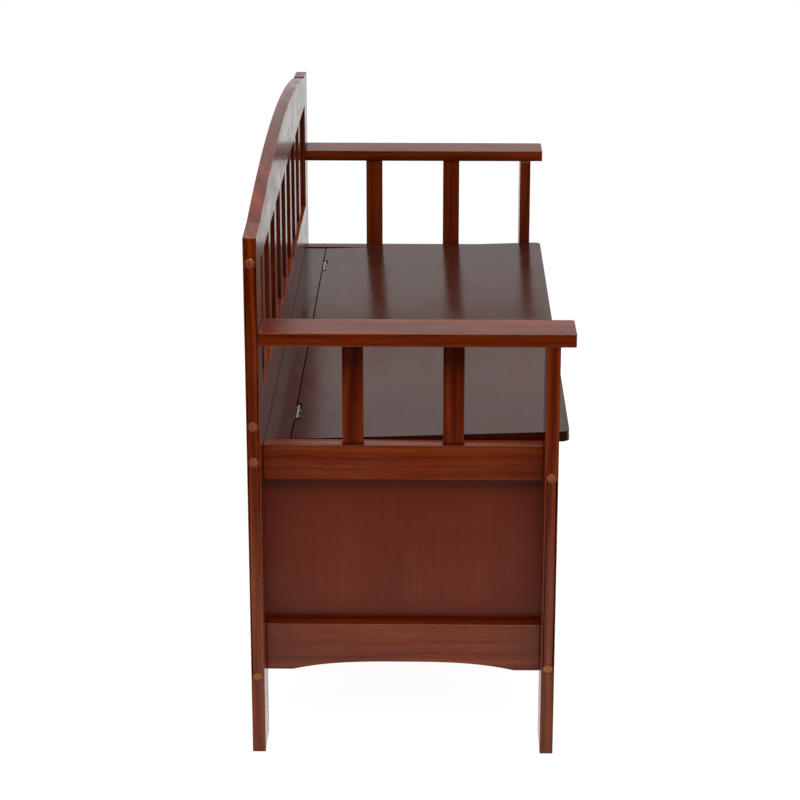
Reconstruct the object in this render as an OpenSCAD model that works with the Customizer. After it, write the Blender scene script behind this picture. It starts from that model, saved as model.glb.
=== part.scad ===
// Mission-style storage bench: slatted back with an arched crest, slatted
// arms, a panelled box under the seat and a hinged seat lid. Millimetres.
// Origin on the floor under the middle of the bench, X along its length,
// the front faces -Y, Z up. "Left" is the -X end.

/* [Overall size] */
// Length over the outer edges of the two arms
bench_w = 1270; // [1000:5:1600]
// Depth from the rear of the posts to the tips of the arms
bench_d = 457; // [380:1:560]
// Floor to the highest point of the crest rail
bench_h = 813; // [780:1:980]
// Floor to the top of the side rails, level with the seat
seat_h = 454; // [370:1:460]

/* [Legs and posts] */
// Width of a leg or post across the front of the bench
leg_w = 73; // [55:1:90]
// Thickness of a leg or post from front to rear
leg_t = 19; // [16:0.5:24]
// How much lower the outer corner of a post top is than the inner one
post_slope = 4; // [0:0.5:12]

/* [Back] */
// Height of the crest rail at its ends
crest_end_h = 50.5; // [44:0.5:70]
// Rise of the crest's arched top from its ends to the middle
crest_rise = 42; // [10:1:60]
// Rise of the crest's underside from its ends to the middle
crest_under_rise = 5; // [0:0.5:10]
// Height of the lower back rail
back_rail_h = 105; // [96:1:115]
// Length of the lower back rail that shows above the seat
back_rail_up = 78; // [70:1:80]
// Width of a back slat
slat_w = 35; // [24:1:50]
// Thickness of every slat
slat_t = 10; // [7:0.5:12]
// Depth of the housing a slat end sits in
slat_in = 8; // [5:0.5:10]

/* [Arms] */
// Floor to the underside of an arm
arm_under = 616; // [570:1:640]
// Thickness of an arm
arm_t = 19; // [16:0.5:26]
// How far an arm's inner edge stays short of the leg's inner face
arm_in = 2; // [0:0.5:4]
// How far an arm stands out past the outer face of its leg
arm_over = 2; // [2:0.5:5]
// How far an arm runs past the front face of its leg
arm_nose = 21.5; // [18:0.5:35]
// Width of an arm slat
arm_slat_w = 30; // [20:1:45]

/* [Box] */
// Thickness of the four side rails
rail_t = 20; // [17:0.5:24]
// Height of the side top rails
side_rail_h = 51; // [40:1:60]
// Floor to the straight ends of the bottom rails
low_rail_z = 107.5; // [80:0.5:125]
// Height of the bottom rails at their ends
low_rail_h = 72; // [60:1:90]
// Rise of the arch cut under the bottom rails
arch_rise = 12.5; // [4:0.5:18]
// Height of the front top rail
front_rail_h = 50; // [44:1:64]
// Floor to the underside of the rear bottom rail
rear_rail_z = 98; // [80:1:105]
// Height of the rear bottom rail
rear_rail_h = 42; // [36:1:50]
// Thickness of the thin box panels and of the floor
panel_t = 6; // [4:0.5:9]
// How far a side panel's ends lap onto the post and the front leg
panel_side_lap = 4; // [2:0.5:8]
// Height of the floor's underside above the bottom rails' straight ends
floor_up = 42.5; // [30:0.5:50]
// Side of the square strips that carry the floor
cleat = 18; // [12:1:24]
// Height of the strip that carries the rear seat board
seat_cleat_h = 30; // [20:1:40]
// Depth of that strip
seat_cleat_d = 20; // [15:1:30]

/* [Seat] */
// Thickness of the lid and of the rear seat board
lid_t = 15; // [13:0.5:18]
// Depth of the fixed seat board behind the lid
board_d = 36.4; // [30:0.1:44]
// Gap between the fixed seat board and the lid
lid_gap = 2; // [1.5:0.1:3]
// Gap between each end of the lid and the box panel beside it
lid_side_gap = 6; // [3:0.5:10]
// How far the tips of the arms stand in front of the lid
lid_back = 2; // [0:0.5:8]
// Radius of the lid's front corners
lid_r = 12; // [4:1:30]
// Slope of the closed lid, front edge up, in degrees
lid_tilt = 1.95; // [0.5:0.05:2.2]
// Height of the pads the lid rests on
pad_h = 2; // [1.6:0.1:3]

/* [Hinges] */
// Distance from the outer face of a leg to the middle of its hinge
hinge_in = 210; // [170:1:300]
// Length of a hinge
hinge_l = 60; // [50:1:80]
// Outside diameter of the hinge knuckles
knuckle_d = 6; // [5:0.5:7]
// Diameter of the hinge pin
pin_d = 3; // [2.5:0.1:3.2]
// Thickness of the hinge leaves
leaf_t = 1.5; // [1:0.1:1.8]
// Distance from the pin down to the lower edge of a leaf
leaf_drop = 12; // [11.5:0.1:12.5]
// Free space past each end of a hinge in the lid's notch
notch_play = 8; // [3:1:12]
// Air in front of the knuckles in the lid's notch
notch_air = 2; // [0.6:0.1:2.5]

/* [Fastenings] */
// Diameter of the wooden plugs over the bolt heads
plug_d = 13; // [12:0.5:15]
// How far a plug stands out from the leg
plug_dome = 1.8; // [1:0.1:1.9]
// Diameter of the frame bolts
bolt_d = 6; // [5:0.5:7]
// Diameter of the barrel nuts
nut_d = 10; // [9:0.5:12]

/* [Hidden] */
// play all round a glued slat or tenon, and past its end
fit = 0.1;
fit_end = 0.5;
// play round the box floor, and between the fixed seat board and the back rail
floor_play = 0.5;
board_play = 0.4;
// radial play of the pin, in its own knuckles and in the turning ones
pin_fit = 0.02;
pin_run = 0.05;
// air between neighbouring knuckles, and between a knuckle and the seat board
knuckle_gap = 0.2;
knuckle_air = 0.6;
// rest gap between the lid and its pads
pad_gap = 0.02;
// overshoot of every cutter
cut = 1;

back_slats = 8;
arm_slats = 2;
knuckles = 5;

// long direction: outer and inner face of a leg, inner face of a side panel
x_out = bench_w / 2 - arm_over;
x_in = x_out - leg_w;
x_box = x_in - panel_t;
x_lid = x_box - lid_side_gap;
x_hinge = x_out - hinge_in;

// deep direction: rear plane, front of the posts, front and rear of the legs
y_rear = bench_d / 2;
y_tip = -bench_d / 2;
y_post = y_rear - leg_t;
y_leg = y_tip + arm_nose;
y_rail = y_leg + leg_t;
y_board = y_post - board_d;
y_lid_rear = y_board - lid_gap;
y_lid_front = y_tip + lid_back;
bay = y_post - y_rail;

// heights
crest_top = bench_h - crest_rise;
post_over = 2;
post_in_h = crest_top + post_over;
post_out_h = post_in_h - post_slope;
crest_z = crest_top - crest_end_h;
seat_drop = 1.6;
seat_top = seat_h - seat_drop;
board_z = seat_top - lid_t;
back_rail_top = seat_h + back_rail_up;
back_rail_z = back_rail_top - back_rail_h;
panel_lap = 8;
panel_z = low_rail_z + arch_rise + panel_lap;
rear_panel_z = rear_rail_z + panel_lap;
floor_z = low_rail_z + floor_up;
low_top = low_rail_z + low_rail_h;

// hinge line, and the underside of the closed lid at a given depth
pin_down = 2.4;
y_pin = y_board - knuckle_d / 2 - knuckle_air;
z_pin = seat_top - pin_down;
notch_y = y_pin - knuckle_d / 2 - notch_air;
drop = z_pin - board_z;
function lid_under(y) = z_pin - drop * cos(lid_tilt)
    + (y_pin - drop * sin(lid_tilt) - y) * tan(lid_tilt);
y_pad = y_leg + leg_t / 2;
front_top = lid_under(y_pad) - pad_h;
front_rail_z = front_top - front_rail_h;

// bolts: how far each one lies inside its rail's edge, and its height
crest_bolt = 13.3;
back_bolt_top = 33.4;
back_bolt_low = 19.2;
front_bolt = 23;
low_bolt = 26.4;
post_bolts = [
    crest_z + crest_bolt,
    back_rail_top - back_bolt_top,
    back_rail_z + back_bolt_low,
    rear_rail_z + rear_rail_h / 2
];
leg_bolts = [front_top - front_bolt, low_rail_z + low_bolt];
y_post_bolt = y_rear - leg_t / 2;
y_leg_bolt = y_leg + leg_t / 2;
bolt_play = 0.25;
plug_l = 7;
bore_l = 14;
head_d = 10.5;
head_h = 4;
nut_in = 25;
nut_l = 14;
bolt_end = nut_in + 9;
bore_past = 3;

// stub tenons of the side rails, short of the bolts that cross the legs
tenon_wall = 0.75;
tenon_l = leg_t / 2 - bolt_d / 2 - bolt_play - fit_end - tenon_wall;
tenon_t = 10;
tenon_in = 8;
tenon_root = 10;

// how the slats divide the space between the posts and between the legs
slat_pitch = (2 * x_in - back_slats * slat_w) / (back_slats + 1) + slat_w;
slat_x0 = -x_in + slat_pitch - slat_w / 2;
slat_z = back_rail_top - slat_in;
slat_top = crest_z + crest_under_rise + slat_in;
arm_pitch = (bay - arm_slats * arm_slat_w) / (arm_slats + 1) + arm_slat_w;
arm_slat_x = x_in + rail_t / 2;

screw_d = 2.8;
screw_l = 11;
screw_head = 5.4;
screw_drop = 8;
knuckle_bite = 0.9;
screw_step = hinge_l / 3;
pin_head_t = 0.8;
pin_head_d = knuckle_d - 1.4;
pad_in = 60;
pad_d = 10;
pad_ball = 14;
knuckle_l = (hinge_l - (knuckles - 1) * knuckle_gap) / knuckles;

wood = [0.36, 0.14, 0.08];
wood_lit = [0.44, 0.19, 0.11];
wood_dark = [0.28, 0.11, 0.07];
plug_wood = [0.60, 0.30, 0.16];
steel = [0.70, 0.69, 0.66];
rubber = [0.10, 0.10, 0.10];

$fn = 96;

// ---------------------------------------------------------------- helpers

// a box from one corner to the opposite one
module block(a, b) {
    translate(a)
        cube(b - a);
}

// builds the right-hand piece, mirrored for the left-hand one
module on_side(s) {
    if (s > 0)
        children();
    else
        mirror([1, 0, 0])
            children();
}

// a rod along X from x0 to x1
module rod_x(x0, x1, y, z, d) {
    translate([x0, y, z])
        rotate([0, 90, 0])
            cylinder(h = x1 - x0, d = d);
}

// a rod along Y from y0 to y1
module rod_y(x, y0, y1, z, d) {
    translate([x, y1, z])
        rotate([90, 0, 0])
            cylinder(h = y1 - y0, d = d);
}

// a profile drawn in X and Z, given thickness in Y
module slab_xz(y0, y1, pts) {
    translate([0, y1, 0])
        rotate([90, 0, 0])
            linear_extrude(y1 - y0)
                polygon(pts);
}

// height of a circular arch that rises by h over a half span c, at distance x
function arch(x, c, h) = h <= 0 ? 0 :
    let (r = (c * c + h * h) / (2 * h))
    sqrt(r * r - x * x) - (r - h);

// arch under a bottom rail whose half length is c: full in the middle, and
// falling ever faster to the straight ends, each low_flat long
low_flat = 38;
low_steps = 24;
function low_rise(t) = arch_rise * (1 - pow(abs(t), 3));
function low_under(c) = [
    for (i = [-low_steps : low_steps])
        let (t = i / low_steps)
        [(c - low_flat) * t, low_rail_z + low_rise(t)]
];
function low_profile(c) = concat(
    [[-c, low_top], [-c, low_rail_z]],
    low_under(c),
    [[c, low_rail_z], [c, low_top]]
);

// closed lid: everything that turns with it is drawn level, then tipped
module tipped() {
    translate([0, y_pin, z_pin])
        rotate([-lid_tilt, 0, 0])
            translate([0, -y_pin, -z_pin])
                children();
}

// bores for one frame bolt through a leg: shank and counterbore
module leg_bore(y, z) {
    rod_x(x_in - cut, x_out, y, z, bolt_d + 2 * bolt_play);
    rod_x(x_out - bore_l, x_out + cut, y, z, plug_d + 2 * fit);
}

// bores for one frame bolt in the end of a rail, nut hole from the rear face
module rail_bore(y, y_open, z) {
    rod_x(x_in - bolt_end - bore_past, x_in + cut, y, z, bolt_d + 2 * bolt_play);
    rod_y(x_in - nut_in, y - nut_l / 2 - fit_end, y_open + cut, z, nut_d + 2 * fit);
}

// ------------------------------------------------------- posts, legs, arms

// sockets for the side rail tenons, cut into a leg or post
module rail_sockets(y0, y1) {
    x = arm_slat_x - tenon_t / 2;
    for (z = [[low_rail_z, low_top], [seat_h - side_rail_h, seat_h]])
        block([x - fit, y0, z[0] + tenon_in - fit],
              [x + tenon_t + fit, y1, z[1] - tenon_in + fit]);
}

module back_post(s) {
    color(wood)
        on_side(s)
            difference() {
                slab_xz(y_post, y_rear, [
                    [x_in, 0], [x_out, 0],
                    [x_out, post_out_h], [x_in, post_in_h]
                ]);
                rail_sockets(y_post - cut, y_post + tenon_l + fit_end);
                for (z = post_bolts)
                    leg_bore(y_post_bolt, z);
            }
}

module front_leg(s) {
    color(wood)
        on_side(s)
            difference() {
                block([x_in, y_leg, 0], [x_out, y_rail, arm_under]);
                rail_sockets(y_rail - tenon_l - fit_end, y_rail + cut);
                for (z = leg_bolts)
                    leg_bore(y_leg_bolt, z);
            }
}

// centre of an arm slat, counted from the front
function arm_slat_y(i) = y_rail + arm_pitch * i - arm_slat_w / 2;

// housings for the arm slats between two heights
module arm_slat_cuts(z0, z1) {
    for (i = [1 : arm_slats])
        block([arm_slat_x - slat_t / 2 - fit, arm_slat_y(i) - arm_slat_w / 2 - fit, z0],
              [arm_slat_x + slat_t / 2 + fit, arm_slat_y(i) + arm_slat_w / 2 + fit, z1]);
}

module arm(s) {
    color(wood_lit)
        on_side(s)
            difference() {
                block([x_in + arm_in, y_tip, arm_under],
                      [bench_w / 2, y_post, arm_under + arm_t]);
                arm_slat_cuts(arm_under - cut, arm_under + slat_in + fit_end);
            }
}

module arm_slat(s, i) {
    color(wood)
        on_side(s)
            block([arm_slat_x - slat_t / 2, arm_slat_y(i) - arm_slat_w / 2, seat_h - slat_in],
                  [arm_slat_x + slat_t / 2, arm_slat_y(i) + arm_slat_w / 2, arm_under + slat_in]);
}

// -------------------------------------------------------------------- back

// housings for the back slats between two heights
module back_slat_cuts(z0, z1) {
    for (i = [0 : back_slats - 1])
        block([slat_x0 + i * slat_pitch - slat_w / 2 - fit, y_post_bolt - slat_t / 2 - fit, z0],
              [slat_x0 + i * slat_pitch + slat_w / 2 + fit, y_post_bolt + slat_t / 2 + fit, z1]);
}

module crest_rail() {
    steps = 60;
    color(wood_lit)
        difference() {
            slab_xz(y_post, y_rear, concat(
                [for (i = [0 : steps])
                    let (x = x_in * (1 - 2 * i / steps))
                    [x, crest_top + arch(x, x_in, crest_rise)]],
                [for (i = [0 : steps])
                    let (x = x_in * (2 * i / steps - 1))
                    [x, crest_z + arch(x, x_in, crest_under_rise)]]
            ));
            back_slat_cuts(crest_z - cut, slat_top + fit_end);
            for (s = [-1, 1])
                on_side(s)
                    rail_bore(y_post_bolt, y_rear, post_bolts[0]);
        }
}

module back_lower_rail() {
    color(wood)
        difference() {
            block([-x_in, y_post, back_rail_z], [x_in, y_rear, back_rail_top]);
            back_slat_cuts(slat_z - fit_end, back_rail_top + cut);
            for (s = [-1, 1])
                on_side(s)
                    for (k = [1, 2])
                        rail_bore(y_post_bolt, y_rear, post_bolts[k]);
        }
}

module back_slat(i) {
    x = slat_x0 + (i - 1) * slat_pitch;
    color(wood_dark)
        block([x - slat_w / 2, y_post_bolt - slat_t / 2, slat_z],
              [x + slat_w / 2, y_post_bolt + slat_t / 2, slat_top]);
}

// --------------------------------------------------------------------- box

// the two tenons of a side rail between two heights
module rail_tenons(z0, z1) {
    for (y = [[y_rail - tenon_l, y_rail + tenon_root], [y_post - tenon_root, y_post + tenon_l]])
        block([arm_slat_x - tenon_t / 2, y[0], z0 + tenon_in],
              [arm_slat_x + tenon_t / 2, y[1], z1 - tenon_in]);
}

module side_top_rail(s) {
    z0 = seat_h - side_rail_h;
    color(wood)
        on_side(s)
            difference() {
                union() {
                    block([x_in, y_rail, z0], [x_in + rail_t, y_post, seat_h]);
                    rail_tenons(z0, seat_h);
                }
                arm_slat_cuts(seat_h - slat_in - fit_end, seat_h + cut);
            }
}

module side_bottom_rail(s) {
    color(wood_lit)
        on_side(s) {
            translate([x_in, (y_post + y_rail) / 2, 0])
                rotate([90, 0, 90])
                    linear_extrude(rail_t)
                        polygon(low_profile(bay / 2));
            rail_tenons(low_rail_z, low_top);
        }
}

module side_panel(s) {
    color(wood_dark)
        on_side(s) {
            block([x_box, y_rail, panel_z], [x_in, y_post, seat_h]);
            // the lap on the front leg, then the lap on the post, each between two rails
            block([x_box, y_rail - panel_side_lap, low_top],
                  [x_in, y_rail + panel_t, front_rail_z]);
            block([x_box, y_post - panel_t, rear_rail_z + rear_rail_h],
                  [x_in, y_post + panel_side_lap, back_rail_z]);
        }
}

module front_top_rail() {
    color(wood)
        difference() {
            block([-x_in, y_leg, front_rail_z], [x_in, y_rail, front_top]);
            for (s = [-1, 1])
                on_side(s)
                    rail_bore(y_leg_bolt, y_rail, leg_bolts[0]);
        }
}

module front_bottom_rail() {
    color(wood_lit)
        difference() {
            slab_xz(y_leg, y_rail, low_profile(x_in));
            for (s = [-1, 1])
                on_side(s)
                    rail_bore(y_leg_bolt, y_rail, leg_bolts[1]);
        }
}

module front_panel() {
    color(wood_dark)
        block([-x_box, y_rail, panel_z], [x_box, y_rail + panel_t, front_top]);
}

module rear_bottom_rail() {
    color(wood)
        difference() {
            block([-x_in, y_post, rear_rail_z], [x_in, y_rear, rear_rail_z + rear_rail_h]);
            for (s = [-1, 1])
                on_side(s)
                    rail_bore(y_post_bolt, y_rear, post_bolts[3]);
        }
}

module rear_panel() {
    color(wood_dark)
        block([-x_box, y_post - panel_t, rear_panel_z], [x_box, y_post, board_z]);
}

// inner faces of the front and rear panels, and what lies between them
y_in_f = y_rail + panel_t;
y_in_r = y_post - panel_t;

module box_floor() {
    color(wood_lit)
        block([-x_box + floor_play, y_in_f + floor_play, floor_z],
              [x_box - floor_play, y_in_r - floor_play, floor_z + panel_t]);
}

module floor_cleat_front() {
    color(wood)
        block([-x_box, y_in_f, floor_z - cleat], [x_box, y_in_f + cleat, floor_z]);
}

module floor_cleat_rear() {
    color(wood)
        block([-x_box, y_in_r - cleat, floor_z - cleat], [x_box, y_in_r, floor_z]);
}

module floor_cleat_side(s) {
    color(wood)
        on_side(s)
            block([x_box - cleat, y_in_f + cleat, floor_z - cleat],
                  [x_box, y_in_r - cleat, floor_z]);
}

// -------------------------------------------------------------------- seat

// places its children at both hinges
module at_hinges() {
    for (s = [-1, 1])
        translate([s * x_hinge, 0, 0])
            children();
}

module seat_board() {
    color(wood)
        difference() {
            block([-x_lid, y_board, board_z], [x_lid, y_post - board_play, seat_top]);
            at_hinges()
                screw_bores(1);
        }
}

module seat_board_cleat() {
    color(wood)
        block([-x_box, y_in_r - seat_cleat_d, board_z - seat_cleat_h], [x_box, y_in_r, board_z]);
}

// outline of the lid seen from above, front corners rounded
function lid_outline() = concat(
    [[-x_lid, y_lid_rear]],
    [for (i = [0 : 12])
        let (a = 180 + 90 * i / 12)
        [-x_lid + lid_r + lid_r * cos(a), y_lid_front + lid_r + lid_r * sin(a)]],
    [for (i = [0 : 12])
        let (a = 270 + 90 * i / 12)
        [x_lid - lid_r + lid_r * cos(a), y_lid_front + lid_r + lid_r * sin(a)]],
    [[x_lid, y_lid_rear]]
);

module seat_lid() {
    color(wood_lit)
        tipped()
            difference() {
                translate([0, 0, board_z])
                    linear_extrude(lid_t)
                        polygon(lid_outline());
                at_hinges() {
                    block([-hinge_l / 2 - notch_play, notch_y, board_z - cut],
                          [hinge_l / 2 + notch_play, y_lid_rear + cut, seat_top + cut]);
                    screw_bores(-1);
                }
            }
}

// ------------------------------------------------------------------ hinges

// Each hinge is drawn about x = 0. dir is +1 for the leaf on the seat board
// and -1 for the leaf on the lid.

function leaf_face(dir) = dir > 0 ? y_board : notch_y;

// the screws of one leaf
module screws(dir) {
    for (i = [-1 : 1])
        translate([i * screw_step, leaf_face(dir) - dir * leaf_t, z_pin - screw_drop])
            rotate([-90 * dir, 0, 0])
                union() {
                    cylinder(h = leaf_t, d1 = screw_head, d2 = screw_d);
                    cylinder(h = leaf_t + screw_l, d = screw_d);
                }
}

// pilot holes for those screws
module screw_bores(dir) {
    for (i = [-1 : 1])
        translate([i * screw_step, leaf_face(dir) - dir * cut, z_pin - screw_drop])
            rotate([-90 * dir, 0, 0])
                cylinder(h = cut + screw_l + 1, d = screw_d + 2 * fit);
}

// screw holes through a leaf, countersunk
module leaf_holes(dir) {
    for (i = [-1 : 1])
        translate([i * screw_step, leaf_face(dir) - dir * leaf_t, z_pin - screw_drop])
            rotate([-90 * dir, 0, 0]) {
                cylinder(h = leaf_t, d1 = screw_head + 2 * fit, d2 = screw_d + 2 * fit);
                translate([0, 0, -cut])
                    cylinder(h = leaf_t + 2 * cut, d = screw_d + 2 * fit);
            }
}

// left edge of knuckle k
function knuckle_x(k) = -hinge_l / 2 + k * (knuckle_l + knuckle_gap);

// one leaf with its knuckles; every second knuckle starting from first
module leaf(dir, first, bore) {
    y0 = dir > 0 ? y_board - leaf_t : notch_y;
    y1 = dir > 0 ? y_board : max(notch_y + leaf_t, y_pin - knuckle_d / 2 + knuckle_bite);
    difference() {
        union() {
            block([-hinge_l / 2, y0, z_pin - leaf_drop],
                  [hinge_l / 2, y0 + leaf_t, z_pin - knuckle_d / 2 - 0.3]);
            for (k = [first : 2 : knuckles - 1]) {
                rod_x(knuckle_x(k), knuckle_x(k) + knuckle_l, y_pin, z_pin, knuckle_d);
                block([knuckle_x(k), y0, z_pin - knuckle_d / 2 - 1],
                      [knuckle_x(k) + knuckle_l, y1, z_pin]);
            }
        }
        leaf_holes(dir);
        rod_x(-hinge_l / 2 - cut, hinge_l / 2 + cut, y_pin, z_pin, bore);
    }
}

module hinge_fixed_leaf(s) {
    color(steel)
        translate([s * x_hinge, 0, 0])
            leaf(1, 0, pin_d + 2 * pin_fit);
}

module hinge_lid_leaf(s) {
    color(steel)
        translate([s * x_hinge, 0, 0])
            tipped()
                leaf(-1, 1, pin_d + 2 * pin_run);
}

module hinge_pin(s) {
    half = hinge_l / 2 + knuckle_gap;
    color(steel)
        translate([s * x_hinge, 0, 0]) {
            rod_x(-half, half, y_pin, z_pin, pin_d);
            for (x = [-half - pin_head_t, half])
                rod_x(x, x + pin_head_t, y_pin, z_pin, pin_head_d);
        }
}

module hinge_board_screws() {
    color(steel)
        at_hinges()
            screws(1);
}

module hinge_lid_screws() {
    color(steel)
        tipped()
            at_hinges()
                screws(-1);
}

// two domed pads on the front top rail that the closed lid rests on
module lid_pads() {
    z_ball = lid_under(y_pad) - (pad_ball + pad_gap) / cos(lid_tilt);
    color(rubber)
        for (s = [-1, 1])
            intersection() {
                translate([s * (x_in - pad_in), y_pad, z_ball])
                    sphere(pad_ball);
                translate([s * (x_in - pad_in), y_pad, front_top])
                    cylinder(h = pad_ball, d = pad_d);
            }
}

// ------------------------------------------------------------- fastenings

// places its children at every bolt of one end, as points at x = 0
module at_bolts() {
    for (z = post_bolts)
        translate([0, y_post_bolt, z])
            children();
    for (z = leg_bolts)
        translate([0, y_leg_bolt, z])
            children();
}

module leg_plugs(s) {
    r = (plug_d * plug_d / 4 + plug_dome * plug_dome) / (2 * plug_dome);
    color(plug_wood)
        on_side(s)
            at_bolts()
                intersection() {
                    translate([x_out + plug_dome - r, 0, 0])
                        sphere(r);
                    rod_x(x_out - plug_l, x_out + plug_dome + cut, 0, 0, plug_d);
                }
}

module frame_bolts(s) {
    color(steel)
        on_side(s)
            at_bolts() {
                rod_x(x_in - bolt_end, x_out - bore_l + head_h, 0, 0, bolt_d);
                rod_x(x_out - bore_l, x_out - bore_l + head_h, 0, 0, head_d);
            }
}

module barrel_nuts(s) {
    color(steel)
        on_side(s)
            at_bolts()
                difference() {
                    rod_y(x_in - nut_in, -nut_l / 2, nut_l / 2, 0, nut_d);
                    rod_x(x_in - nut_in - nut_d, x_in - nut_in + nut_d, 0, 0, bolt_d + 2 * fit);
                }
}

// ------------------------------------------------------------------- nodes

back_post(-1);  // back_post_left
back_post(1);  // back_post_right
front_leg(-1);  // front_leg_left
front_leg(1);  // front_leg_right
crest_rail();
back_lower_rail();
back_slat(1);  // back_slat_1
back_slat(2);  // back_slat_2
back_slat(3);  // back_slat_3
back_slat(4);  // back_slat_4
back_slat(5);  // back_slat_5
back_slat(6);  // back_slat_6
back_slat(7);  // back_slat_7
back_slat(8);  // back_slat_8
arm(-1);  // arm_left
arm(1);  // arm_right
arm_slat(-1, 1);  // arm_slat_left_1
arm_slat(-1, 2);  // arm_slat_left_2
arm_slat(1, 1);  // arm_slat_right_1
arm_slat(1, 2);  // arm_slat_right_2
side_top_rail(-1);  // side_top_rail_left
side_top_rail(1);  // side_top_rail_right
side_bottom_rail(-1);  // side_bottom_rail_left
side_bottom_rail(1);  // side_bottom_rail_right
side_panel(-1);  // side_panel_left
side_panel(1);  // side_panel_right
front_top_rail();
front_bottom_rail();
front_panel();
rear_bottom_rail();
rear_panel();
box_floor();
floor_cleat_front();
floor_cleat_rear();
floor_cleat_side(-1);  // floor_cleat_left
floor_cleat_side(1);  // floor_cleat_right
seat_board();
seat_board_cleat();
seat_lid();
hinge_fixed_leaf(-1);  // hinge_fixed_leaf_left
hinge_fixed_leaf(1);  // hinge_fixed_leaf_right
hinge_lid_leaf(-1);  // hinge_lid_leaf_left
hinge_lid_leaf(1);  // hinge_lid_leaf_right
hinge_pin(-1);  // hinge_pin_left
hinge_pin(1);  // hinge_pin_right
hinge_board_screws();
hinge_lid_screws();
lid_pads();
leg_plugs(-1);  // leg_plugs_left
leg_plugs(1);  // leg_plugs_right
frame_bolts(-1);  // frame_bolts_left
frame_bolts(1);  // frame_bolts_right
barrel_nuts(-1);  // barrel_nuts_left
barrel_nuts(1);  // barrel_nuts_right
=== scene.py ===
import math

import bpy
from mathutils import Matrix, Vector


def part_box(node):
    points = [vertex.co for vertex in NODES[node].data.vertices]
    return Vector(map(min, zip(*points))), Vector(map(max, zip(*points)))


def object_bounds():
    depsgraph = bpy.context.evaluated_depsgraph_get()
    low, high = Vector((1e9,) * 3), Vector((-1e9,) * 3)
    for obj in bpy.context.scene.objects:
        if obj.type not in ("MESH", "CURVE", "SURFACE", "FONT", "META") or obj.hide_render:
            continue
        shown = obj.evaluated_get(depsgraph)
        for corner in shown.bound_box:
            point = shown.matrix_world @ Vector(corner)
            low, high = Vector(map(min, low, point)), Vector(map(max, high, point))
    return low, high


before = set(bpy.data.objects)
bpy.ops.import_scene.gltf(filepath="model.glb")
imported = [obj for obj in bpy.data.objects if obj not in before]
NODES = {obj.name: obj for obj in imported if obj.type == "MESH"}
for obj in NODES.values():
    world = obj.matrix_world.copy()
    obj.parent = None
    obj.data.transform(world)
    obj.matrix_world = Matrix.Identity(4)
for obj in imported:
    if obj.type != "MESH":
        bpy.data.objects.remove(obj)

CAD_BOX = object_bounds()
GOLDEN = 0.618034       # steps of this share spread the boards' cuts evenly
LACQUER_IOR = 1.38

# The looks of the woods. Colours are linear red, green, blue and alpha.
RED_BROWN = {
    "dark": (0.070, 0.0054, 0.0004, 1),
    "middle": (0.158, 0.0180, 0.0016, 1),
    "light": (0.240, 0.0410, 0.0060, 1),
    "worn": (0.340, 0.0900, 0.0280, 1),
    "sheen": (1.0, 0.91, 0.77, 1),      # tint of the lacquer's reflection seen square on
    "tone": 0.5,        # the smaller, the lighter the boards
    "rings": 130,       # growth rings in a metre
    "streaks": 420,     # grain streaks in a metre, across the grain
    "pores": 1500,      # open pores in a metre, across the grain
    "ring_share": 0.34,
    "blotch_share": 0.24,
    "spread": 0.16,     # the smaller, the stronger the figure
    "pore_depth": 0.45,
    "wear": 0.60,
    "rough": (0.17, 0.28),
    "bump": 0.30,
    "underside_shade": 0.0,      # painted shade: darker on surfaces that face down
    "corners": 0.55,    # painted shade: darker in corners and recesses
}
# The panels carry strong painted shade in their corners and along the frame round them.
PANEL = dict(
    RED_BROWN, rings=60, streaks=520, ring_share=0.05, spread=0.20, pore_depth=0.35,
    wear=0.25, bump=0.18, rough=(0.26, 0.36), corners=0.95,
    sheen=(0.95, 0.74, 0.62, 1), dark=(0.092, 0.0082, 0.0010, 1),
    middle=(0.142, 0.0145, 0.0022, 1), light=(0.188, 0.0245, 0.0044, 1))
SEAT = dict(
    RED_BROWN, rings=90, ring_share=0.15, spread=0.20, pore_depth=0.30,
    wear=0.0, bump=0.10, rough=(0.15, 0.22), corners=0.40,
    dark=(0.028, 0.0036, 0.0008, 1), middle=(0.046, 0.0062, 0.0014, 1),
    light=(0.068, 0.0105, 0.0026, 1))
# The plugs carry painted shade on their lower, downward-facing half.
PLUG = dict(
    RED_BROWN, rings=600, streaks=900, pores=2400, blotch_share=0.45,
    wear=0.0, bump=0.15, rough=(0.14, 0.24), underside_shade=0.85, corners=0.0,
    dark=(0.150, 0.0250, 0.0060, 1), middle=(0.270, 0.0680, 0.0210, 1),
    light=(0.400, 0.1280, 0.0480, 1))
LOOKS = {"stained_wood": RED_BROWN, "stained_panel": PANEL, "seat_wood": SEAT, "plug_wood": PLUG}

# How far from an edge it is rubbed, and how far from a corner the painted shade reaches, in metres.
WOOD_RUB = 0.0022
STEEL_RUB = 0.0006
CORNER_REACH = 0.06

# The widths to which sharp edges are eased, in metres; the panels' stay sharp.
SLAT_EASE = 0.0008
ARM_EASE = 0.0018
SMALL_EASE = 0.0002
EASES = {"stained_wood": 0.0013, "stained_panel": 0.0, "seat_wood": 0.0005, "plug_wood": SMALL_EASE}
EASE_ANGLE = math.radians(35)

# Boards made darker than the rest: the larger, the darker. On the back slats, the arm slats and the right
# side top rail this darkening is painted shade. The others lie between 0.47 and 0.53.
TONES = {
    "crest_rail": 0.56, "side_top_rail_right": 0.66,
    "arm_left": 0.54, "arm_slat_left_1": 0.57, "arm_slat_left_2": 0.54,
    "back_slat_2": 0.56, "back_slat_3": 0.62, "back_slat_4": 0.63, "back_slat_5": 0.66,
    "back_slat_6": 0.66, "back_slat_7": 0.64, "back_slat_8": 0.60,
}

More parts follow.
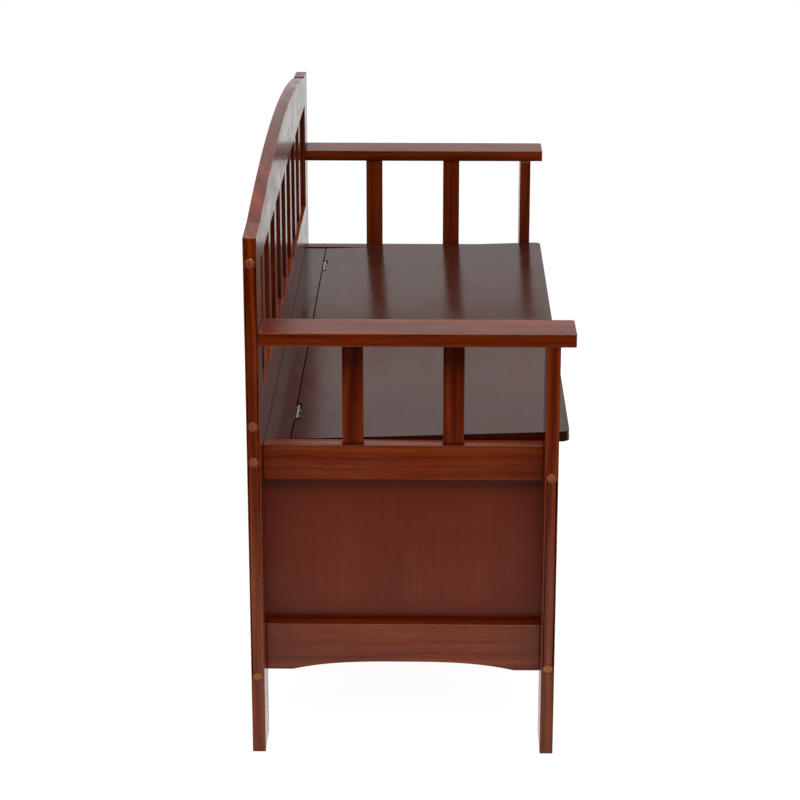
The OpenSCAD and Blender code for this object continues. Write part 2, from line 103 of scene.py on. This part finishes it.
# The studio. Light levels are shares of white.
FLOOR_PAST = 0.9        # how far the floor reaches past the bench's ends, in metres
FLOOR_GLOW = 0.96       # light that the floor gives off itself
BACK_LIGHT = 0.57       # the backdrop beyond the bench's right end
BACK_FLOOR = 1.00       # the white floor that runs on below it
FRONT_LIGHT = 0.02      # beyond its left end
TOP_LIGHT = 1.15        # added overhead

# The camera: millimetres for the lens, metres from the left post's outer rear foot, and degrees.
LENS = 107.35
SENSOR = 36
EYE_BACK = 3.1392       # past the bench's left end
EYE_ASIDE = 0.2666      # in front of the posts' rear
EYE_UP = 1.5590
EYE_TURN = 0.958        # towards the rear
EYE_DROP = 17.994       # downwards


# ---------------------------------------------------------------- node helpers

def node(tree, kind, inputs=None, **settings):
    """Adds a shader node; inputs maps a socket to a value or to another node's output."""
    made = tree.nodes.new("ShaderNode" + kind)
    for key, value in settings.items():
        setattr(made, key, value)
    for socket, value in (inputs or {}).items():
        if isinstance(value, bpy.types.NodeSocket):
            tree.links.new(value, made.inputs[socket])
        else:
            made.inputs[socket].default_value = value
    return made


def maths(tree, operation, first, second=0.0, clamp=False):
    """One Math node's output."""
    return node(tree, "Math", {0: first, 1: second}, operation=operation, use_clamp=clamp).outputs[0]


def vector(tree, operation, first, second):
    """One Vector Math node's vector output."""
    return node(tree, "VectorMath", {0: first, 1: second}, operation=operation).outputs[0]


def noise(tree, place, scale, detail=2.0, rough=0.5):
    """A noise's value, with its place stretched by scale, a number for each axis."""
    stretched = vector(tree, "MULTIPLY", place, scale)
    return node(tree, "TexNoise", {"Vector": stretched, "Scale": 1.0, "Detail": detail,
                                   "Roughness": rough}).outputs["Fac"]


def weighted(tree, *pairs):
    """The sum of several outputs, each times its own share."""
    total = 0.0
    for value, share in pairs:
        total = maths(tree, "ADD", maths(tree, "MULTIPLY", value, share), total)
    return total


def remap(tree, value, low, high, to_low=0.0, to_high=1.0):
    """The value moved from the range low to high into another range, and held inside it."""
    return node(tree, "MapRange", {"Value": value, "From Min": low, "From Max": high,
                                   "To Min": to_low, "To Max": to_high}).outputs[0]


def mix(tree, share, first, second):
    """Two colours mixed, with share of the second."""
    made = node(tree, "Mix", data_type="RGBA")
    for name, kind, value in (("Factor", "VALUE", share), ("A", "RGBA", first), ("B", "RGBA", second)):
        target = next(s for s in made.inputs if s.name == name and s.type == kind)
        if isinstance(value, bpy.types.NodeSocket):
            tree.links.new(value, target)
        else:
            target.default_value = value
    return next(s for s in made.outputs if s.type == "RGBA")


def new_material(name):
    """A node material: itself, its tree and its shader."""
    material = bpy.data.materials.new(name)
    material.use_nodes = True
    return material, material.node_tree, material.node_tree.nodes["Principled BSDF"]


def finish(tree, shader, colour, rough, height, strength, depth):
    """Links a surface's colour and roughness, and a bump of height whose relief is depth metres."""
    bump = node(tree, "Bump", {"Height": height, "Strength": strength, "Distance": depth})
    tree.links.new(colour, shader.inputs["Base Color"])
    tree.links.new(rough, shader.inputs["Roughness"])
    tree.links.new(bump.outputs[0], shader.inputs["Normal"])


def edge_mask(tree, radius):
    """1 on an edge and 0 on flat stretches further than radius from one."""
    rounded = node(tree, "Bevel", {"Radius": radius}, samples=4).outputs[0]
    flat = node(tree, "NewGeometry").outputs["Normal"]
    agree = node(tree, "VectorMath", {0: rounded, 1: flat}, operation="DOT_PRODUCT").outputs["Value"]
    return remap(tree, agree, 0.995, 0.82)


# ------------------------------------------------------------------- materials

def cut_place(tree, name, axis, number):
    """A board's own coordinates: Z along the grain, the tree's heart a little outside the board."""
    low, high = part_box(name)
    centre = (low + high) / 2
    angle = math.tau * GOLDEN * number
    heart = 0.07 + 0.05 * ((number * GOLDEN) % 1)
    turned = [centre[(axis + 1 + i) % 3] for i in range(3)]
    shift = (heart * math.cos(angle) - turned[0], heart * math.sin(angle) - turned[1], 0.73 * number)
    parts = node(tree, "SeparateXYZ", {0: node(tree, "TexCoord").outputs["Object"]}).outputs
    along = node(tree, "CombineXYZ", {i: parts[(axis + 1 + i) % 3] for i in range(3)}).outputs[0]
    return vector(tree, "ADD", along, shift)


def wandered(tree, place):
    """The same coordinates, pushed about so that the grain wanders."""
    way = vector(tree, "MULTIPLY", place, (9, 9, 2.2))
    push = node(tree, "TexNoise", {"Vector": way, "Scale": 1.0, "Detail": 2.0}).outputs["Color"]
    return vector(tree, "ADD", place, vector(tree, "MULTIPLY", push, (0.030, 0.030, 0.0)))


def growth_rings(tree, grain, count):
    """Light and dark rings round the tree's heart, count of them in a metre."""
    flat = vector(tree, "MULTIPLY", grain, (1, 1, 0))
    radius = node(tree, "VectorMath", {0: flat}, operation="LENGTH").outputs["Value"]
    turns = maths(tree, "MULTIPLY", radius, count)
    return node(tree, "TexNoise", {"W": turns, "Scale": 1.0, "Detail": 2.0},
                noise_dimensions="1D").outputs["Fac"]


def stained(tree, look, tone, pore):
    """The stain's colour: dark, middle or light by the tone, and dark in the pores."""
    colour = mix(tree, remap(tree, tone, 0.0, 0.5), look["dark"], look["middle"])
    colour = mix(tree, remap(tree, tone, 0.5, 1.0), colour, look["light"])
    return mix(tree, maths(tree, "MULTIPLY", pore, look["pore_depth"]), colour, look["dark"])


def worn_and_shaded(tree, look, place, colour):
    """The colour rubbed lighter on edges, and darkened as painted shade underneath and in corners."""
    patchy = remap(tree, noise(tree, place, (60, 60, 25), 2.0), 0.35, 0.65,
                   0.4 * look["wear"], look["wear"])
    colour = mix(tree, maths(tree, "MULTIPLY", edge_mask(tree, WOOD_RUB), patchy), colour, look["worn"])
    # Painted shade: the colour goes dark on surfaces that face down.
    facing = node(tree, "SeparateXYZ", {0: node(tree, "NewGeometry").outputs["Normal"]}).outputs["Z"]
    colour = mix(tree, remap(tree, facing, 0.05, -0.35, 0.0, look["underside_shade"]), colour, look["dark"])
    # Painted shade: the colour goes dark in corners and recesses, by ambient occlusion.
    corner = node(tree, "AmbientOcclusion", {"Distance": CORNER_REACH}, samples=4).outputs["AO"]
    return mix(tree, remap(tree, corner, 0.95, 0.40, 0.0, look["corners"]), colour, look["dark"])


def wood(name, look, axis, number):
    """Stained wood under a satin lacquer, with its own rings, streaks, pores, blotches and wear, and
    painted shade underneath, in corners and on some boards.
    """
    material, tree, shader = new_material("wood_" + name)
    place = cut_place(tree, name, axis, number)
    grain = wandered(tree, place)
    rings = growth_rings(tree, grain, look["rings"])
    fine = look["streaks"]
    streaks = noise(tree, grain, (fine, fine, 9), 3.0, 0.6)
    hairs = noise(tree, grain, (3 * fine, 3 * fine, 30), 2.0)
    blotch = noise(tree, place, (14, 14, 4), 2.0)
    pore = remap(tree, noise(tree, grain, (look["pores"], look["pores"], 90), 1.0), 0.60, 0.70)

    rest = 1 - look["ring_share"] - look["blotch_share"]
    figure = weighted(tree, (rings, look["ring_share"]), (blotch, look["blotch_share"]),
                      (streaks, 0.7 * rest), (hairs, 0.3 * rest))
    # The tones listed for the back slats, arm slats and right side top rail are painted shade.
    board = TONES.get(name, look["tone"] - 0.03 * math.sin(math.tau * GOLDEN * 3 * number))
    tone = remap(tree, figure, board - look["spread"], board + look["spread"])
    colour = worn_and_shaded(tree, look, place, stained(tree, look, tone, pore))

    smooth, dull = look["rough"]
    satin = remap(tree, noise(tree, place, (30, 30, 12), 3.0), 0.3, 0.7, smooth, dull)
    rough = maths(tree, "ADD", satin, maths(tree, "MULTIPLY", pore, 0.08))
    height = maths(tree, "SUBTRACT", maths(tree, "MULTIPLY", streaks, 0.5),
                   maths(tree, "MULTIPLY", pore, 0.5))
    finish(tree, shader, colour, rough, height, look["bump"], 0.0002)
    shader.inputs["IOR"].default_value = LACQUER_IOR
    shader.inputs["Specular Tint"].default_value = look["sheen"]
    return material


def steel(name, colour, worn, smooth, dull):
    """Plated steel with fine brush lines, a cloudy finish and brighter edges."""
    material, tree, shader = new_material(name)
    place = node(tree, "TexCoord").outputs["Object"]
    lines = noise(tree, place, (60, 2500, 2500), 2.0)
    cloud = noise(tree, place, (220, 220, 220), 3.0)
    tint = mix(tree, remap(tree, cloud, 0.35, 0.65), colour, tuple(0.7 * c for c in colour[:3]) + (1,))
    tint = mix(tree, edge_mask(tree, STEEL_RUB), tint, worn)
    dullness = maths(tree, "ADD", cloud, maths(tree, "MULTIPLY", lines, 0.4))
    rough = remap(tree, dullness, 0.5, 0.9, smooth, dull)
    finish(tree, shader, tint, rough, lines, 0.15, 0.0001)
    shader.inputs["Metallic"].default_value = 1.0
    return material


def rubber(name):
    """Dark rubber with a fine moulded grain and dusty patches."""
    material, tree, shader = new_material(name)
    place = node(tree, "TexCoord").outputs["Object"]
    grain = noise(tree, place, (2600, 2600, 2600), 2.0)
    dust = noise(tree, place, (180, 180, 180), 3.0)
    tint = mix(tree, remap(tree, dust, 0.35, 0.7), (0.012, 0.011, 0.010, 1), (0.035, 0.032, 0.030, 1))
    finish(tree, shader, tint, remap(tree, dust, 0.3, 0.7, 0.55, 0.75), grain, 0.4, 0.0001)
    return material


# ------------------------------------------------------------- boards and edges

def smooth_group():
    """Geometry nodes that shade the eased edges smooth and leave the flat faces crisp."""
    group = bpy.data.node_groups.new("smooth_shading", "GeometryNodeTree")
    group.interface.new_socket("Geometry", in_out="INPUT", socket_type="NodeSocketGeometry")
    group.interface.new_socket("Geometry", in_out="OUTPUT", socket_type="NodeSocketGeometry")
    start = group.nodes.new("NodeGroupInput")
    plain = group.nodes.new("GeometryNodeRemoveAttribute")
    plain.inputs["Name"].default_value = "custom_normal"
    smooth = group.nodes.new("GeometryNodeSetShadeSmooth")
    end = group.nodes.new("NodeGroupOutput")
    group.links.new(start.outputs[0], plain.inputs["Geometry"])
    group.links.new(plain.outputs[0], smooth.inputs["Geometry"])
    group.links.new(smooth.outputs[0], end.inputs[0])
    return group


SMOOTH = smooth_group()


def ease(name, width):
    """Joins a node's split corners, then cuts a small round along each sharp edge."""
    piece = NODES[name]
    weld = piece.modifiers.new("join_corners", "WELD")
    weld.merge_threshold = 0.00002
    shade = piece.modifiers.new("shade", "NODES")
    shade.node_group = SMOOTH
    flat = piece.modifiers.new("flat_faces", "DECIMATE")
    flat.decimate_type = "DISSOLVE"
    flat.angle_limit = math.radians(0.01)
    bevel = piece.modifiers.new("eased_edges", "BEVEL")
    bevel.width = width
    bevel.segments = 2
    bevel.limit_method = "ANGLE"
    bevel.angle_limit = EASE_ANGLE
    bevel.use_clamp_overlap = True
    bevel.harden_normals = True


def dress(name, material, width):
    """Gives a node its material in every slot, and eases its edges unless width is 0."""
    piece = NODES[name]
    for part in piece.material_slots:
        part.material = material
    if width:
        ease(name, width)


def grain_axis(name):
    """0, 1 or 2 for grain along X, Y or Z: upright in panels seen from outside, else lengthwise."""
    if "side_panel" in name or "front_panel" in name:
        return 2
    low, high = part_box(name)
    size = high - low
    return max(range(3), key=lambda i: size[i])


def ease_width(name, slot):
    """How far the edges of a wooden node are eased."""
    if "slat" in name:
        return SLAT_EASE
    if "arm_" in name:
        return ARM_EASE
    return EASES[slot]


def dress_all():
    """Each node takes the look of its slot in the record, which its own packed material is named after."""
    slot_of = {name: NODES[name].material_slots[0].material.name for name in NODES}
    shared = {
        "hinge_steel": steel("steel_hinge", (0.42, 0.39, 0.35, 1), (0.70, 0.66, 0.60, 1), 0.16, 0.30),
        "zinc_steel": steel("steel_zinc", (0.52, 0.51, 0.47, 1), (0.72, 0.72, 0.70, 1), 0.32, 0.50),
        "pad_rubber": rubber("rubber_pad"),
    }
    for number, name in enumerate(sorted(NODES)):
        slot = slot_of[name]
        if slot in shared:
            dress(name, shared[slot], SMALL_EASE)
        else:
            material = wood(name, LOOKS[slot], grain_axis(name), number)
            dress(name, material, ease_width(name, slot))


# -------------------------------------------------------------- floor and light

def floor():
    """A plain pale round floor that glows like a photographer's light table."""
    low, high = CAD_BOX
    bpy.ops.mesh.primitive_circle_add(vertices=96, radius=high.x + FLOOR_PAST, fill_type="NGON",
                                      location=(0, 0, low.z))
    disc = bpy.context.object
    disc.name = "floor"
    material, tree, shader = new_material("floor_pale")
    shader.inputs["Base Color"].default_value = (0.20, 0.20, 0.20, 1)
    shader.inputs["Roughness"].default_value = 0.9
    shader.inputs["Specular IOR Level"].default_value = 0.2
    shader.inputs["Emission Color"].default_value = (1, 1, 1, 1)
    shader.inputs["Emission Strength"].default_value = FLOOR_GLOW
    disc.data.materials.append(material)


def softbox(name, place, aim, size, power):
    """A square area light at place, facing aim; its size is in metres and its power in watts."""
    light = bpy.data.lights.new(name, "AREA")
    light.shape = "SQUARE"
    light.size = size
    light.energy = power
    lamp = bpy.data.objects.new(name, light)
    lamp.location = place
    lamp.rotation_mode = "QUATERNION"
    lamp.rotation_quaternion = (Vector(aim) - Vector(place)).to_track_quat("-Z", "Y")
    lamp.visible_camera = False
    bpy.context.scene.collection.objects.link(lamp)


def surround():
    """The studio round the bench: it looks white, and lights more from the right end and above."""
    world = bpy.data.worlds.new("studio")
    world.use_nodes = True
    tree = world.node_tree
    sky = tree.nodes["Background"]
    way = node(tree, "SeparateXYZ", {0: node(tree, "TexCoord").outputs["Generated"]}).outputs
    wall = remap(tree, way["X"], -0.2, 0.6, FRONT_LIGHT, BACK_LIGHT)
    ground = remap(tree, way["X"], 0.0, 0.3, 0.0, BACK_FLOOR)
    up = remap(tree, way["Z"], -0.03, 0.03)
    level = weighted(tree, (wall, up), (ground, maths(tree, "SUBTRACT", 1.0, up)),
                     (remap(tree, way["Z"], 0.62, 0.92), TOP_LIGHT))
    seen = node(tree, "LightPath").outputs["Is Camera Ray"]
    tree.links.new(maths(tree, "MAXIMUM", level, seen), sky.inputs["Strength"])
    sky.inputs["Color"].default_value = (1, 1, 1, 1)
    bpy.context.scene.world = world


def studio():
    """The surround, and two soft lights: a large one over the bench, a small one past its left end."""
    surround()
    middle = (CAD_BOX[0] + CAD_BOX[1]) / 2
    softbox("light_top", middle + Vector((-0.6, -0.6, 2.6)), middle, 2.4, 18)
    softbox("light_left", middle + Vector((-1.9, -0.05, 1.5)), middle - Vector((0.4, 0, 0)), 0.8, 22)
    bpy.context.scene.view_settings.view_transform = "Standard"


def camera():
    """Looks along the bench from its left end, from a little above."""
    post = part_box("back_post_left")
    data = bpy.data.cameras.new("camera")
    data.lens = LENS
    data.sensor_width = SENSOR
    eye = bpy.data.objects.new("camera", data)
    eye.location = (post[0].x - EYE_BACK, post[1].y - EYE_ASIDE, post[0].z + EYE_UP)
    turn, drop = math.radians(EYE_TURN), math.radians(EYE_DROP)
    ahead = Vector((math.cos(turn) * math.cos(drop), math.sin(turn) * math.cos(drop), -math.sin(drop)))
    eye.rotation_mode = "QUATERNION"
    eye.rotation_quaternion = ahead.to_track_quat("-Z", "Y")
    bpy.context.scene.collection.objects.link(eye)
    bpy.context.scene.camera = eye


camera()
dress_all()
floor()
studio()
